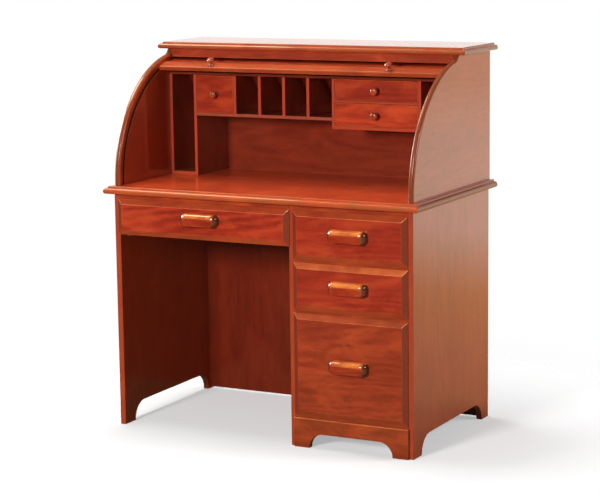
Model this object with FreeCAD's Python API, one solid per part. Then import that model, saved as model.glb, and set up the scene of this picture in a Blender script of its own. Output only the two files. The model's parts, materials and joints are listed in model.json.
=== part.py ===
import FreeCAD
import Part
import math
import os

os.makedirs("parts", exist_ok=True)
V = FreeCAD.Vector

# Lower case, in millimetres; y is counted from the front edge of the side panels
base_width = 1016.0
base_depth = 575.0
base_height = 736.0
panel_thick = 19.0
panel_round = 3.0
back_inset = 30.0
back_thick = 9.0
back_clear = 7.0
pedestal_wide = 386.0
foot_length = 60.0
rear_foot_length = 52.0
foot_radius = 57.0

# Worktop and cap boards with a stepped and rounded edge
top_thick = 24.0
top_side = 26.0
top_front = 24.0
top_rear = 8.0
cap_thick = 22.0
cap_front_over = 14.0
edge_ledge = 3.0
edge_step_tall = 6.5
edge_top_round = 3.0
edge_round = 8.5
edge_lower_round = 6.0
edge_corner = 5.0

# Rails, bottom board and bracket skirt of the lower case
rail_depth = 60.0
top_rail_tall = 18.0
divider_tall = 19.0
bottom_thick = 20.0
skirt_tall = 91.0
skirt_lap = 5.0
skirt_proud = 8.0
skirt_core = 11.0
skirt_round = 3.0
skirt_foot = 51.0
skirt_arch_tall = 45.0
runner_wide = 12.0
runner_rear_gap = 16.0
knee_runner_tall = 14.0
knee_runner_start = 40.0

# Lower drawers: fronts lap the case edges, and boxes run between the panels.
# The three pedestal fronts share the height over the skirt in these parts
knee_front_tall = 113.0
upper_front_part = 150.0
middle_front_part = 146.0
file_front_part = 315.0
upper_front_lap = 3.0
front_space = 7.0
skirt_space = 5.0
front_lap = 4.0
front_proud = 12.0
front_edge = 2.0
front_bevel = 17.0
front_core = 8.0
lip_gap = 0.4
run_gap = 0.3
side_gap = 1.5
core_gap = 2.0
drawer_board = 12.0
drawer_bottom = 6.0
drawer_bottom_up = 10.0
drawer_groove = 4.0
drawer_rear_gap = 28.0
drawer_top_gap = 12.0
file_top_gap = 66.0

# Pull block on each lower drawer
pull_wide = 130.0
pull_tall = 40.0
pull_deep = 25.0
pull_corner = 13.0
pull_waist = 8.0
pull_waist_less = 3.0
pull_nose_wide = 84.0
pull_nose_tall = 20.0
pull_nose_drop = 6.0
pull_rise = 6.5
pull_nose_corner = 9.0
pull_nose_round = 3.0

# Hood: side profile, header and back. The front curve takes the depth that is left before its centre
hood_behind = 185.0
hood_setback = 2.0
arc_rise = 5.0
flick_angle = 78.5
flick_radius = 30.0
flick_drop = 22.75
hood_round = 4.0
hood_rear_over = 8.0
header_setback = 0.6
header_thick = 19.0
header_tall = 26.0
hood_back_inset = 11.0
hood_back_thick = 6.0

# Curtain track and lift rail
track_setback = 24.0
track_turn = 82.0
track_back_gap = 21.0
groove_wide = 10.0
groove_deep = 7.0
groove_start_angle = -3.0
groove_end_up = 10.0
lift_thick = 13.5
lift_proud = 9.5
lift_low_angle = 68.3
lift_high_angle = 75.6
lift_round = 5.0
lift_gap = 0.5
tongue_gap = 0.4
tongue_long = 6.0
slat_count = 16
slat_turn_angle = 4.8796
slat_space = 2.0
slat_thick = 9.0
slat_bevel = 2.0
slat_bevel_tall = 2.5
slat_shoulder = 1.0
slat_end_gap = 0.4
lift_knob_in = 181.0
lift_knob_angle = 71.6

# Turned knobs: radius against height from the seat
knob_turning = [(7.7, 0.0), (6.2, 2.8), (5.9, 7.0), (7.3, 9.8),
                (11.2, 13.3), (12.0, 16.8), (10.6, 20.4), (6.4, 22.7)]
knob_length = 23.5

# Pigeonhole unit: it stands on the worktop, clear of the curtain track, and is divided from its top down.
# The letter drawer, the four pigeonholes and the drawer bank share the middle width in these parts
unit_front_gap = 75.0
unit_rear_gap = 52.0
unit_head_gap = 44.2
unit_low_gap = 28.3
unit_high_gap = 38.6
unit_sheet = 6.0
unit_board = 10.0
unit_top_thick = 8.0
unit_top_clear = 4.0
left_slot_wide = 79.0
right_slot_wide = 85.0
middle_parts = [135.0, 79.0, 76.0, 75.0, 78.0, 281.0]
pigeonhole_tall = 120.0
bank_tall = 145.0
bank_upper_tall = 67.0
bank_middle_thick = 6.0
slot_floor = 11.0

# Small drawers in the pigeonhole unit
small_gap = 1.0
small_front = 12.0
small_board = 7.0
small_bottom = 4.0
small_rear_gap = 20.0
letter_side = 60.0
bank_upper_side = 40.0
bank_lower_side = 56.0

# Overrun of cutting shapes past the faces they cut
cut_over = 1.0

# Derived places of the lower case
half = base_width / 2
inner = half - panel_thick
front_reach = front_proud + pull_deep
rear_reach = base_depth + top_rear
y_front = (front_reach - rear_reach) / 2
worktop_z = base_height + top_thick
back_y = base_depth - back_inset - back_thick
pedestal_left = inner - pedestal_wide
pedestal_right = pedestal_left + panel_thick
top_rail_low = base_height - top_rail_tall

# Derived heights of the drawer stack, from the skirt up, and of the knee drawer, from the worktop down
file_front_low = skirt_tall + skirt_space
upper_front_high = top_rail_low + upper_front_lap
stack_tall = upper_front_high - file_front_low - 2 * front_space
part_tall = stack_tall / (upper_front_part + middle_front_part + file_front_part)
upper_front_tall = upper_front_part * part_tall
middle_front_tall = middle_front_part * part_tall
file_front_tall = file_front_part * part_tall
middle_front_low = file_front_low + file_front_tall + front_space
upper_front_low = middle_front_low + middle_front_tall + front_space
knee_front_high = top_rail_low + front_lap
knee_front_low = knee_front_high - knee_front_tall
bottom_high = file_front_low + front_lap
bottom_low = bottom_high - bottom_thick
divider_middle_z = [middle_front_low - front_space / 2, upper_front_low - front_space / 2]
divider_low_z = [z - divider_tall / 2 for z in divider_middle_z]
divider_high_z = [z + divider_tall / 2 for z in divider_middle_z]
knee_runner_high = knee_front_low + front_lap
knee_runner_low = knee_runner_high - knee_runner_tall
runner_end = back_y - runner_rear_gap
drawer_rear = back_y - drawer_rear_gap

# Derived places of the hood and its curtain
arc_y = base_depth - hood_behind
profile_radius = arc_y - hood_setback
arc_z = worktop_z + arc_rise
flick_turn = math.radians(flick_angle)
flick_y = arc_y - (profile_radius + flick_radius) * math.cos(flick_turn)
flick_z = arc_z + (profile_radius + flick_radius) * math.sin(flick_turn)
flick_stop = -math.radians(flick_drop)
flick_half = (flick_stop - flick_turn) / 2
flick_top = flick_y + flick_radius * math.cos(flick_stop)
cap_z = flick_z + flick_radius * math.sin(flick_stop)
hood_rear = base_depth + hood_rear_over
header_front = flick_top + header_setback
header_low = cap_z - header_tall
cap_front = header_front - cap_front_over
hood_back_front = hood_rear - hood_back_inset - hood_back_thick
track_radius = profile_radius - track_setback
track_back = hood_back_front - track_back_gap
groove_end = worktop_z + groove_end_up
lift_outer = track_radius + lift_proud
lift_inner = lift_outer - lift_thick
slat_pitch = track_radius * math.radians(slat_turn_angle)
lift_knob_x = inner - lift_knob_in

# Derived track: the front arc, a tighter bend over the pigeonholes, then straight down the back
turn = math.radians(track_turn)
bend_radius = (track_back - arc_y + track_radius * math.cos(turn)) / (1 + math.cos(turn))
bend_y = arc_y - (track_radius - bend_radius) * math.cos(turn)
bend_z = arc_z + (track_radius - bend_radius) * math.sin(turn)
arc_run = track_radius * turn
bend_run = bend_radius * (math.pi - turn)

# Derived places of the pigeonhole unit; its sloped rear is a chord inside the bend of the track
unit_back = hood_back_front - unit_rear_gap
unit_front = arc_y - unit_front_gap
unit_top_low = bend_z + bend_radius - unit_head_gap
low_reach = bend_radius - unit_low_gap
high_reach = bend_radius - unit_high_gap
unit_bend_z = bend_z + math.sqrt(low_reach ** 2 - (unit_back - bend_y) ** 2)
unit_top_rear = bend_y + math.sqrt(high_reach ** 2 - (unit_top_low - bend_z) ** 2)
shelf_top = unit_top_low - pigeonhole_tall
shelf_low = shelf_top - unit_board
bank_top = unit_top_low - bank_tall
bank_low = bank_top - unit_board
bank_middle_top = unit_top_low - bank_upper_tall
bank_middle = bank_middle_top - bank_middle_thick
left_wall = -inner + unit_board + left_slot_wide
right_wall = inner - 2 * unit_board - right_slot_wide
middle_clear = right_wall - left_wall - len(middle_parts) * unit_board
middle_walls = []
wall_x = left_wall
for part in middle_parts[:-1]:
    wall_x += unit_board + part * middle_clear / sum(middle_parts)
    middle_walls.append(wall_x)
divider_x = middle_walls[:-1]
bank_wall = middle_walls[-1]


def at(x, y, z):
    return V(x, y_front + y, z)


def box(x0, x1, y0, y1, z0, z1):
    return Part.makeBox(x1 - x0, y1 - y0, z1 - z0, at(x0, y0, z0))


def arc(a, b, c):
    return Part.Arc(a, b, c).toShape()


def line(a, b):
    return Part.makeLine(a, b)


def prism(edges, x0, x1):
    face = Part.Face(Part.Wire(edges))
    face.translate(V(x0, 0, 0))
    return face.extrude(V(x1 - x0, 0, 0))


def polygon(points):
    return [line(points[i], points[(i + 1) % len(points)]) for i in range(len(points))]


def polar(cy, cz, radius, degrees):
    turn = math.radians(degrees)
    return at(0, cy - radius * math.cos(turn), cz + radius * math.sin(turn))


def edges_where(shape, test):
    return [edge for edge in shape.Edges if test(edge)]


def all_at(edge, axis, value):
    return all(abs(point.Point[axis] - value) < 1e-4 for point in edge.Vertexes)


def along(edge, axis):
    a = edge.Vertexes[0].Point
    b = edge.Vertexes[-1].Point
    return abs(abs(b[axis] - a[axis]) - (b - a).Length) < 1e-4


def save(name, *solids):
    shape = solids[0] if len(solids) == 1 else Part.makeCompound(list(solids))
    shape.exportStep("parts/" + name + ".step")


# Side panels with an arch cut between the front and rear feet
def side_panel(x0, x1, depth):
    rear_start = depth - rear_foot_length
    turn_in = foot_radius * math.sqrt(0.5)
    front_arc = arc(at(0, foot_length, 0),
                    at(0, foot_length + foot_radius - turn_in, turn_in),
                    at(0, foot_length + foot_radius, foot_radius))
    rear_arc = arc(at(0, rear_start - foot_radius, foot_radius),
                   at(0, rear_start - foot_radius + turn_in, turn_in),
                   at(0, rear_start, 0))
    arch_start = at(0, foot_length + foot_radius, foot_radius)
    arch_stop = at(0, rear_start - foot_radius, foot_radius)
    outline = [line(at(0, 0, 0), at(0, foot_length, 0)), front_arc]
    outline.append(line(arch_start, arch_stop))
    outline.append(rear_arc)
    outline.append(line(at(0, rear_start, 0), at(0, depth, 0)))
    outline.append(line(at(0, depth, 0), at(0, depth, base_height)))
    outline.append(line(at(0, depth, base_height), at(0, 0, base_height)))
    outline.append(line(at(0, 0, base_height), at(0, 0, 0)))
    panel = prism(outline, x0, x1)
    front = edges_where(panel, lambda e: along(e, 2) and all_at(e, 1, y_front))
    return panel.makeFillet(panel_round, front)


save("side_panel_left", side_panel(-half, -inner, base_depth))
save("side_panel_right", side_panel(inner, half, base_depth))
save("pedestal_panel", side_panel(pedestal_left, pedestal_right, back_y))
save("base_back_panel", box(-inner, inner, back_y, back_y + back_thick, back_clear, base_height))


# Worktop and cap: a lower slab with a rounded nose under a stepped-in upper slab, square at the rear
def moulded_board(x0, x1, y0, y1, z0, z1):
    lower_top = z1 - edge_step_tall

    def rim(shape, test):
        return edges_where(shape, lambda e: test(e) and not all_at(e, 1, y_front + y1))

    lower = box(x0, x1, y0, y1, z0, lower_top)
    lower = lower.makeFillet(edge_corner, rim(lower, lambda e: along(e, 2)))
    lower = lower.makeFillet(edge_round, rim(lower, lambda e: all_at(e, 2, lower_top)))
    lower = lower.makeFillet(edge_lower_round, rim(lower, lambda e: all_at(e, 2, z0)))
    step = edge_round + edge_ledge
    upper = box(x0 + step, x1 - step, y0 + step, y1, lower_top - cut_over, z1)
    upper = upper.makeFillet(edge_corner, rim(upper, lambda e: along(e, 2)))
    upper = upper.makeFillet(edge_top_round, rim(upper, lambda e: all_at(e, 2, z1)))
    return lower.fuse(upper).removeSplitter()


board_half = half + top_side
save("worktop", moulded_board(-board_half, board_half, -top_front, rear_reach, base_height, worktop_z))
save("cap_board", moulded_board(-board_half, board_half, cap_front, rear_reach, cap_z, cap_z + cap_thick))

# Rails at the front of the lower case and the board under the file drawer
face_rails = []
for low, high in zip(divider_low_z, divider_high_z):
    face_rails.append(box(pedestal_right, inner, 0, rail_depth, low, high))
face_rails.append(box(-inner, pedestal_left, 0, rail_depth, top_rail_low, base_height))
face_rails.append(box(pedestal_right, inner, 0, rail_depth, top_rail_low, base_height))
save("face_rails", *face_rails)
save("pedestal_bottom", box(pedestal_right, inner, 0, back_y, bottom_low, bottom_high))

# Bracket skirt: a face board over the panel edges with a core between the panels
skirt_left = pedestal_right - skirt_lap
skirt_right = inner + skirt_lap
skirt_face = box(skirt_left, skirt_right, -skirt_proud, 0, 0, skirt_tall)
skirt_nose = y_front - skirt_proud
skirt_top = edges_where(skirt_face, lambda e: all_at(e, 2, skirt_tall) and all_at(e, 1, skirt_nose))
skirt_face = skirt_face.makeFillet(skirt_round, skirt_top)
skirt_back = box(pedestal_right, inner, 0, skirt_core, 0, bottom_low)
arch_left = skirt_left + skirt_foot
arch_right = skirt_right - skirt_foot
arch_turn = skirt_arch_tall * math.sqrt(0.5)
arch_y = -skirt_proud - cut_over


def skirt_point(x, z):
    return at(x, arch_y, z)


arch_outline = [
    arc(skirt_point(arch_left, 0),
        skirt_point(arch_left + skirt_arch_tall - arch_turn, arch_turn),
        skirt_point(arch_left + skirt_arch_tall, skirt_arch_tall)),
    line(skirt_point(arch_left + skirt_arch_tall, skirt_arch_tall),
         skirt_point(arch_right - skirt_arch_tall, skirt_arch_tall)),
    arc(skirt_point(arch_right - skirt_arch_tall, skirt_arch_tall),
        skirt_point(arch_right - skirt_arch_tall + arch_turn, arch_turn),
        skirt_point(arch_right, 0)),
    line(skirt_point(arch_right, 0), skirt_point(arch_left, 0)),
]
arch_cut = Part.Face(Part.Wire(arch_outline)).extrude(V(0, skirt_proud + skirt_core + 2 * cut_over, 0))
save("skirt", skirt_face.fuse(skirt_back).cut(arch_cut).removeSplitter())

# Runners: one at each side of each lower drawer, level with the rail it stands behind
runners = []
for low, high in zip(divider_low_z, divider_high_z):
    runners.append(box(pedestal_right, pedestal_right + runner_wide, rail_depth, runner_end, low, high))
    runners.append(box(inner - runner_wide, inner, rail_depth, runner_end, low, high))
for left in (-inner, pedestal_left - runner_wide):
    runners.append(box(left, left + runner_wide, knee_runner_start, runner_end,
                       knee_runner_low, knee_runner_high))
save("drawer_runners", *runners)


# Lower drawers: a bevelled front with a core in the opening, a box of boards and a pull block
def rectangle(x0, x1, z0, z1, y):
    return Part.makePolygon([at(x0, y, z0), at(x1, y, z0), at(x1, y, z1), at(x0, y, z1), at(x0, y, z0)])


def rounded_rectangle(cx, cz, wide, tall, corner, y):
    x0 = cx - wide / 2
    x1 = cx + wide / 2
    z0 = cz - tall / 2
    z1 = cz + tall / 2
    turn = corner * (1 - math.sqrt(0.5))
    return Part.Wire([
        line(at(x0 + corner, y, z0), at(x1 - corner, y, z0)),
        arc(at(x1 - corner, y, z0), at(x1 - turn, y, z0 + turn), at(x1, y, z0 + corner)),
        line(at(x1, y, z0 + corner), at(x1, y, z1 - corner)),
        arc(at(x1, y, z1 - corner), at(x1 - turn, y, z1 - turn), at(x1 - corner, y, z1)),
        line(at(x1 - corner, y, z1), at(x0 + corner, y, z1)),
        arc(at(x0 + corner, y, z1), at(x0 + turn, y, z1 - turn), at(x0, y, z1 - corner)),
        line(at(x0, y, z1 - corner), at(x0, y, z0 + corner)),
        arc(at(x0, y, z0 + corner), at(x0 + turn, y, z0 + turn), at(x0 + corner, y, z0)),
    ])


def drawer_front(outline, opening):
    x0, x1, z0, z1 = outline
    plate = box(x0, x1, -front_edge, -lip_gap, z0, z1)
    field = Part.makeLoft([rectangle(x0, x1, z0, z1, -front_edge),
                           rectangle(x0 + front_bevel, x1 - front_bevel, z0 + front_bevel, z1 - front_bevel,
                                     -front_proud)], True, True)
    left, right, low, high = opening
    core = box(left + core_gap, right - core_gap, -lip_gap, front_core, low + core_gap, high - core_gap)
    return plate.fuse([field, core]).removeSplitter()


def drawer_box(left, right, low, high):
    y0 = front_core
    y1 = drawer_rear
    bottom_z = low + drawer_bottom_up
    sheet_in = drawer_board - drawer_groove
    sheet = box(left + sheet_in, right - sheet_in, y0, y1 - drawer_board, bottom_z, bottom_z + drawer_bottom)
    boards = [box(left, left + drawer_board, y0, y1, low, high),
              box(right - drawer_board, right, y0, y1, low, high)]
    boards = [board.cut(sheet) for board in boards]
    boards.append(box(left + drawer_board, right - drawer_board, y1 - drawer_board, y1, low, high))
    boards.append(sheet)
    return boards


def pull_block(cx, cz):
    y0 = -front_proud
    y1 = y0 - pull_deep
    pull_waist_wide = pull_wide - pull_waist_less
    nose_z = cz - pull_nose_drop
    sections = [rounded_rectangle(cx, cz, pull_wide, pull_tall, pull_corner, y0),
                rounded_rectangle(cx, cz, pull_waist_wide, pull_tall, pull_corner, y0 - pull_waist),
                rounded_rectangle(cx, nose_z, pull_nose_wide, pull_nose_tall, pull_nose_corner, y1)]
    block = Part.makeLoft(sections, True, False)
    nose = edges_where(block, lambda e: all_at(e, 1, y_front + y1))
    return block.makeFillet(pull_nose_round, nose)


def lower_drawer(name, opening, front_low, front_tall, top_gap):
    left, right, low, high = opening
    outline = (left - front_lap, right + front_lap, front_low, front_low + front_tall)
    save(name + "_drawer_front", drawer_front(outline, opening))
    boards = drawer_box(left + side_gap, right - side_gap, low + run_gap, high - top_gap)
    save(name + "_drawer_box", *boards)
    save(name + "_drawer_pull", pull_block((left + right) / 2, front_low + front_tall / 2 + pull_rise))


lower_drawer("knee", (-inner, pedestal_left, knee_runner_high, top_rail_low),
             knee_front_low, knee_front_tall, drawer_top_gap)
lower_drawer("upper", (pedestal_right, inner, divider_high_z[1], top_rail_low),
             upper_front_low, upper_front_tall, drawer_top_gap)
lower_drawer("middle", (pedestal_right, inner, divider_high_z[0], divider_low_z[1]),
             middle_front_low, middle_front_tall, drawer_top_gap)
lower_drawer("file", (pedestal_right, inner, bottom_high, divider_low_z[0]),
             file_front_low, file_front_tall, file_top_gap)


# Place and turn of the curtain at a run along its track
def track_point(run):
    if run <= arc_run:
        angle = run / track_radius
        return arc_y - track_radius * math.cos(angle), arc_z + track_radius * math.sin(angle), angle
    if run <= arc_run + bend_run:
        angle = turn + (run - arc_run) / bend_radius
        return bend_y - bend_radius * math.cos(angle), bend_z + bend_radius * math.sin(angle), angle
    return track_back, bend_z - (run - arc_run - bend_run), math.pi


# Hood sides: a quarter-round front ending in a small hollow under the cap, with the track cut inside
def hood_side(x0, x1, groove_from):
    low_front = at(0, hood_setback, worktop_z)
    arc_start = at(0, hood_setback, arc_z)
    arc_stop = polar(arc_y, arc_z, profile_radius, flick_angle)
    flick_mid = at(0, flick_y + flick_radius * math.cos(flick_half),
                   flick_z + flick_radius * math.sin(flick_half))
    flick_end = at(0, flick_top, cap_z)
    rear_top = at(0, hood_rear, cap_z)
    rear_low = at(0, hood_rear, worktop_z)
    outline = [line(low_front, arc_start),
               arc(arc_start, polar(arc_y, arc_z, profile_radius, flick_angle / 2), arc_stop),
               arc(arc_stop, flick_mid, flick_end),
               line(flick_end, rear_top), line(rear_top, rear_low), line(rear_low, low_front)]
    side = prism(outline, x0, x1)
    curve = edges_where(side, lambda e: e.Length > profile_radius and not along(e, 1) and not along(e, 2))
    side = side.makeFillet(hood_round, curve)
    return side.cut(track_groove(groove_from))


def track_groove(x0):
    wide = groove_wide / 2
    low = groove_start_angle
    high = track_turn
    paths = []
    for offset in (-wide, wide):
        paths.append((polar(arc_y, arc_z, track_radius + offset, low),
                      polar(arc_y, arc_z, track_radius + offset, (low + high) / 2),
                      polar(arc_y, arc_z, track_radius + offset, high),
                      polar(bend_y, bend_z, bend_radius + offset, (high + 180) / 2),
                      at(0, track_back + offset, bend_z),
                      at(0, track_back + offset, groove_end)))
    p, q = paths
    edges = [arc(p[0], p[1], p[2]), arc(p[2], p[3], p[4]), line(p[4], p[5]), line(p[5], q[5]),
             line(q[5], q[4]), arc(q[4], q[3], q[2]), arc(q[2], q[1], q[0]), line(q[0], p[0])]
    return prism(edges, x0, x0 + groove_deep)


save("hood_side_left", hood_side(-half, -inner, -inner - groove_deep))
save("hood_side_right", hood_side(inner, half, inner))
save("header_rail", box(-inner, inner, header_front, header_front + header_thick, header_low, cap_z))
hood_back_rear = hood_back_front + hood_back_thick
save("hood_back_panel", box(-inner, inner, hood_back_front, hood_back_rear, worktop_z, cap_z))


# Lift rail with a tongue at each end in the track, and its two knobs
def ring_piece(r0, r1, a0, a1, x0, x1):
    middle = (a0 + a1) / 2
    edges = [arc(polar(arc_y, arc_z, r0, a0), polar(arc_y, arc_z, r0, middle), polar(arc_y, arc_z, r0, a1)),
             line(polar(arc_y, arc_z, r0, a1), polar(arc_y, arc_z, r1, a1)),
             arc(polar(arc_y, arc_z, r1, a1), polar(arc_y, arc_z, r1, middle), polar(arc_y, arc_z, r1, a0)),
             line(polar(arc_y, arc_z, r1, a0), polar(arc_y, arc_z, r0, a0))]
    return prism(edges, x0, x1)


lift_end = inner - lift_gap
tongue_reach = inner + tongue_long
tongue_outer = track_radius + groove_wide / 2 - tongue_gap
lift_bar = ring_piece(lift_inner, lift_outer, lift_low_angle, lift_high_angle, -lift_end, lift_end)
outer_corners = [polar(arc_y, arc_z, lift_outer, a) for a in (lift_low_angle, lift_high_angle)]
lift_edges = [e for e in lift_bar.Edges if along(e, 0) and any(
    abs(e.Vertexes[0].Point.y - c.y) + abs(e.Vertexes[0].Point.z - c.z) < 1e-3 for c in outer_corners)]
lift_bar = lift_bar.makeFillet(lift_round, lift_edges)
tongue = ring_piece(lift_inner, tongue_outer, lift_low_angle, lift_high_angle, -tongue_reach, tongue_reach)
save("lift_rail", lift_bar.fuse(tongue).removeSplitter())


def knob(seat, axis):
    outline = [V(0, 0, 0)] + [V(r, 0, h) for r, h in knob_turning] + [V(0, 0, knob_length)]
    face = Part.Face(Part.makePolygon(outline + [outline[0]]))
    turned = face.revolve(V(0, 0, 0), V(0, 0, 1), 360)
    turned.Placement = FreeCAD.Placement(seat, FreeCAD.Rotation(V(0, 0, 1), axis))
    return turned


knob_turn = math.radians(lift_knob_angle)
lift_axis = V(0, -math.cos(knob_turn), math.sin(knob_turn))
lift_seat = polar(arc_y, arc_z, lift_outer, lift_knob_angle)
save("lift_rail_knobs",
     knob(lift_seat + V(-lift_knob_x, 0, 0), lift_axis),
     knob(lift_seat + V(lift_knob_x, 0, 0), lift_axis))


# Curtain slats, each with a crowned face and bevelled inner corners, in their places along the track
def slat(y, z, angle):
    along_dir = V(0, math.sin(angle), math.cos(angle))
    out_dir = V(0, -math.cos(angle), math.sin(angle))
    centre = at(0, y, z)
    wide = (slat_pitch - slat_space) / 2
    deep = slat_thick / 2

    def place(t, n):
        return centre + along_dir * t + out_dir * n

    low = place(-wide, -deep + slat_bevel_tall)
    high = place(wide, -deep + slat_bevel_tall)
    edges = [line(place(-wide + slat_bevel, -deep), place(wide - slat_bevel, -deep)),
             line(place(wide - slat_bevel, -deep), high),
             line(high, place(wide, slat_shoulder)),
             arc(place(wide, slat_shoulder), place(0, deep), place(-wide, slat_shoulder)),
             line(place(-wide, slat_shoulder), low),
             line(low, place(-wide + slat_bevel, -deep))]
    return prism(edges, -inner + slat_end_gap, inner - slat_end_gap)


first_run = track_radius * math.radians(lift_high_angle) + slat_pitch / 2
for number in range(slat_count):
    save("slat_%02d" % (number + 1), slat(*track_point(first_run + number * slat_pitch)))


# Pigeonhole unit: upright boards share a rear edge that slopes back under the bend of the curtain
def unit_rear(z):
    if z <= unit_bend_z:
        return unit_back
    return unit_back - (z - unit_bend_z) * (unit_back - unit_top_rear) / (unit_top_low - unit_bend_z)


def upright(x0, low):
    points = [at(0, unit_front, low), at(0, unit_back, low), at(0, unit_back, unit_bend_z),
              at(0, unit_top_rear, unit_top_low), at(0, unit_front, unit_top_low)]
    return prism(polygon(points), x0, x0 + unit_board)


save("tall_partitions",
     upright(-inner, worktop_z), upright(left_wall, worktop_z),
     upright(right_wall, worktop_z), upright(inner - unit_board, worktop_z))
save("pigeonhole_dividers", *([upright(x, shelf_top) for x in divider_x] + [upright(bank_wall, bank_top)]))
save("pigeonhole_shelf", box(left_wall + unit_board, bank_wall, unit_front, unit_back, shelf_low, shelf_top))
bank_left = bank_wall + unit_board
save("drawer_bank_boards",
     box(bank_wall, right_wall, unit_front, unit_back, bank_low, bank_top),
     box(bank_left, right_wall, unit_front, unit_rear(bank_middle_top), bank_middle, bank_middle_top))
slot_floor_top = worktop_z + slot_floor
save("slot_floors",
     box(-inner + unit_board, left_wall, unit_front, unit_back, worktop_z, slot_floor_top),
     box(right_wall + unit_board, inner - unit_board, unit_front, unit_back, worktop_z, slot_floor_top))
save("pigeonhole_top", box(-inner, inner, unit_front, unit_top_rear - unit_top_clear,
                           unit_top_low, unit_top_low + unit_top_thick))
slope = math.atan2(unit_top_low - unit_bend_z, unit_back - unit_top_rear)
sheet_y = unit_sheet * math.sin(slope)
sheet_z = unit_sheet * math.cos(slope)
slope_points = [at(0, unit_back, unit_bend_z), at(0, unit_back + sheet_y, unit_bend_z + sheet_z),
                at(0, unit_top_rear + sheet_y, unit_top_low + sheet_z), at(0, unit_top_rear, unit_top_low)]
save("pigeonhole_back",
     box(-inner, inner, unit_back, unit_back + unit_sheet, worktop_z, unit_bend_z),
     prism(polygon(slope_points), -inner, inner))


# Small drawers: a flat inset front, a low box of boards and a turned knob
def small_drawer(name, left, right, low, high, side_tall):
    x0 = left + small_gap
    x1 = right - small_gap
    z0 = low + run_gap
    z1 = z0 + side_tall
    y0 = unit_front + small_front
    y1 = unit_rear(z1) - small_rear_gap
    front_high = high - small_gap
    save(name + "_front", box(x0, x1, unit_front, y0, z0, front_high))
    boards = [box(x0, x0 + small_board, y0, y1, z0, z1),
              box(x1 - small_board, x1, y0, y1, z0, z1),
              box(x0 + small_board, x1 - small_board, y1 - small_board, y1, z0, z1),
              box(x0 + small_board, x1 - small_board, y0, y1 - small_board, z0, z0 + small_bottom)]
    save(name + "_box", *boards)
    save(name + "_knob", knob(at((x0 + x1) / 2, unit_front, (z0 + front_high) / 2), V(0, -1, 0)))


small_drawer("letter_drawer", left_wall + unit_board, divider_x[0], shelf_top, unit_top_low, letter_side)
small_drawer("bank_upper_drawer", bank_left, right_wall, bank_middle_top, unit_top_low, bank_upper_side)
small_drawer("bank_lower_drawer", bank_left, right_wall, bank_top, bank_middle, bank_lower_side)
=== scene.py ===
import bpy
import bmesh
import json
import math
from mathutils import Matrix, Vector


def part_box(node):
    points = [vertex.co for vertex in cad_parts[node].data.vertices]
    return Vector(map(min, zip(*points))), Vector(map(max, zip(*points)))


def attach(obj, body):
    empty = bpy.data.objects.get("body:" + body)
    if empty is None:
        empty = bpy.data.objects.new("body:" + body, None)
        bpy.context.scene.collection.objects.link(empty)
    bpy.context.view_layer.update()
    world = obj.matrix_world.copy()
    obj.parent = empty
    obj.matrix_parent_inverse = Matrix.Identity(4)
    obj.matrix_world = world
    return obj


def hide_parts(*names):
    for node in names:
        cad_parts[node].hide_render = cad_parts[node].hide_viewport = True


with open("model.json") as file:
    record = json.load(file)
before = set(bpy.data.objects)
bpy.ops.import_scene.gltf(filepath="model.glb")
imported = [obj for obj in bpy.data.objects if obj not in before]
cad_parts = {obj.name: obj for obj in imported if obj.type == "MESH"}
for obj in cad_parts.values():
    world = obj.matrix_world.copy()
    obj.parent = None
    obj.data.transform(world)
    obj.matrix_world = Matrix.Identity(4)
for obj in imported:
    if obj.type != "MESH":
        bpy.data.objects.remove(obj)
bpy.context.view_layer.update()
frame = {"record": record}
caseFront = -273.0  # frame y of the panels' front edge; desk sizes below are in mm from there
bodyOf = {node: body for body, nodes in frame["record"]["behaviour"]["bodies"].items() for node in nodes}


# desk millimetres to frame metres, and a node's box back in desk millimetres
def at(x, y, z):
    return Vector((x, y + caseFront, z)) / 1000


def span(node):
    low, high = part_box(node)
    low, high = low * 1000, high * 1000
    return low.x, high.x, low.y - caseFront, high.y - caseFront, low.z, high.z


def clearSelection():
    bpy.ops.object.select_all(action="DESELECT")


def makeActive(piece):
    clearSelection()
    piece.select_set(True)
    bpy.context.view_layer.objects.active = piece


def settle(piece):
    makeActive(piece)
    bpy.ops.object.transform_apply(location=True, rotation=True, scale=True)


def enterEdit(piece):
    makeActive(piece)
    bpy.ops.object.mode_set(mode="EDIT")


def leaveEdit():
    bpy.ops.object.mode_set(mode="OBJECT")


def selectAll():
    bpy.ops.mesh.select_all(action="SELECT")


def extrude(way):
    bpy.ops.mesh.extrude_region_move(TRANSFORM_OT_translate={"value": way})


# a squared board, ready for its edges
def addBoard(name, x0, x1, y0, y1, z0, z1):
    clearSelection()
    low, high = at(x0, y0, z0), at(x1, y1, z1)
    bpy.ops.mesh.primitive_cube_add(size=1, location=(low + high) / 2, scale=high - low)
    piece = bpy.context.active_object
    piece.name = name
    settle(piece)
    return piece


# selects the edges or faces that pass the test
def pick(piece, kind, test):
    bpy.ops.mesh.select_mode(type=kind)
    bpy.ops.mesh.select_all(action="DESELECT")
    mesh = bmesh.from_edit_mesh(piece.data)
    for part in mesh.edges if kind == "EDGE" else mesh.faces:
        if test(part):
            part.select_set(True)
    bmesh.update_edit_mesh(piece.data)


facing = {"front": 0.6, "flat": 0.9}  # how far a face has to look that way to count


def pickFront(piece):
    pick(piece, "FACE", lambda face: face.normal.y < -facing["flat"])


def near(a, b, slack=2e-5):
    return abs(a - b) < slack


def runsAlong(a, b, axis):
    return all(near(a[i], b[i]) for i in range(3) if i != axis)


# rounds the edges whose two ends pass the test
def roundEdges(piece, test, radius, segments):
    enterEdit(piece)
    pick(piece, "EDGE", lambda edge: test(edge.verts[0].co, edge.verts[1].co))
    bpy.ops.mesh.bevel(offset=radius / 1000, offset_type="OFFSET", segments=segments, profile=0.5,
                       affect="EDGES", clamp_overlap=True)
    leaveEdit()


drawing = {"seed": 0.01, "weld": 1e-5}


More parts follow.
